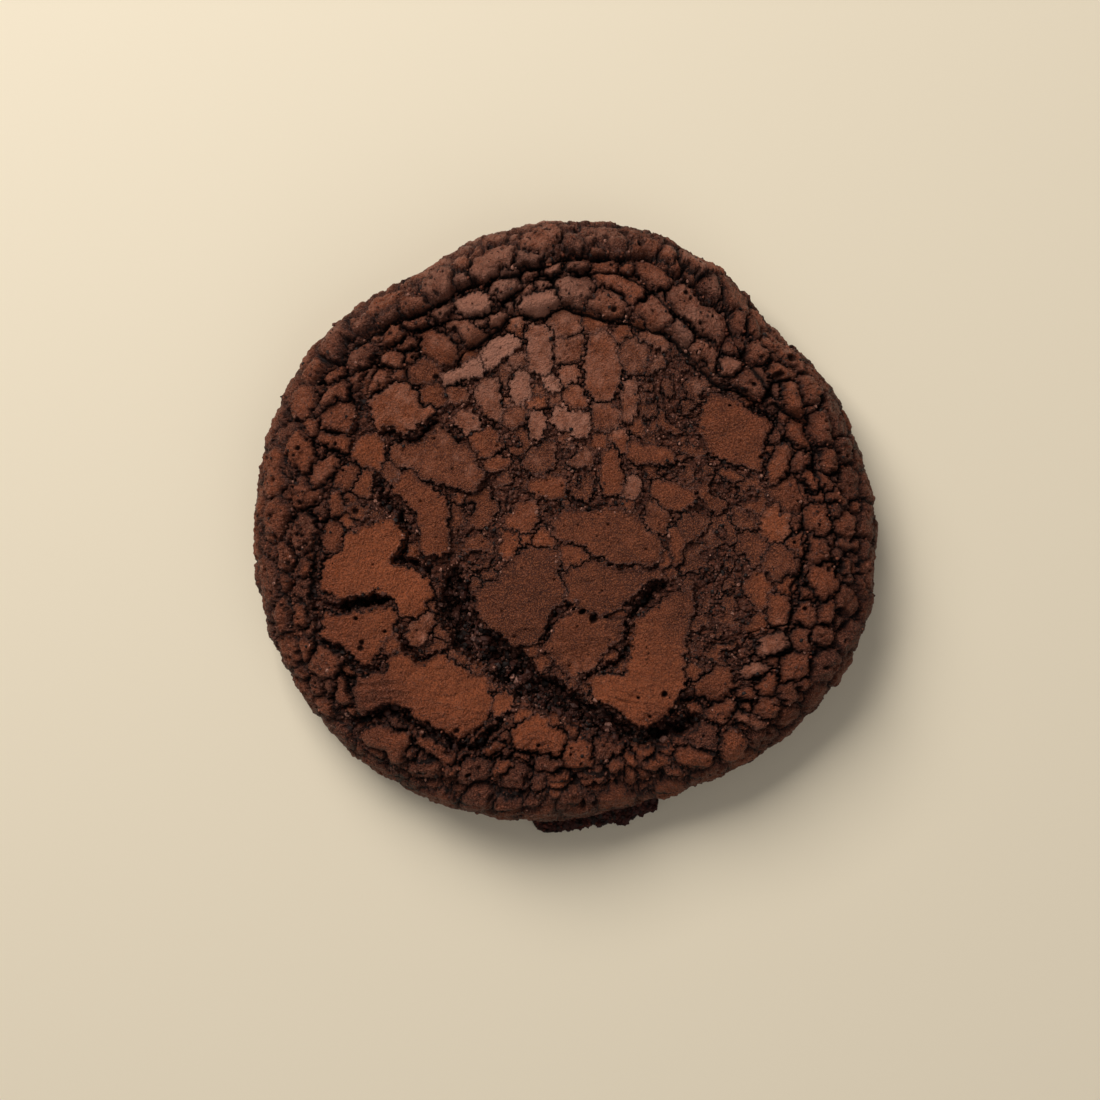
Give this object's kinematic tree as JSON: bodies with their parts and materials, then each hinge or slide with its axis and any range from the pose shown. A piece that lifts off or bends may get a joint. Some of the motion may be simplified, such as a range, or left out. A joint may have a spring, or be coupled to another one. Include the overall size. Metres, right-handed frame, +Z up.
{
  "type": "brownie cookie",
  "caption": "Thick round chocolate brownie cookie with a crackled top crust, a folded and pebbled rim, an open trench and a torn foot of crumb at its base.",
  "frame": {"origin": "middle of the footprint's box, on the flat base", "axes": "+Z up through the cookie, from the flat base to the crackled top; +Y to the back, away from the torn foot; +X to the right as seen from the front"},
  "size_m": [0.1052, 0.1036, 0.0189],
  "materials": {
    "crust": "satin"
  },
  "bodies": {
    "root": {"cookie": "crust"}
  },
  "joints": []
}
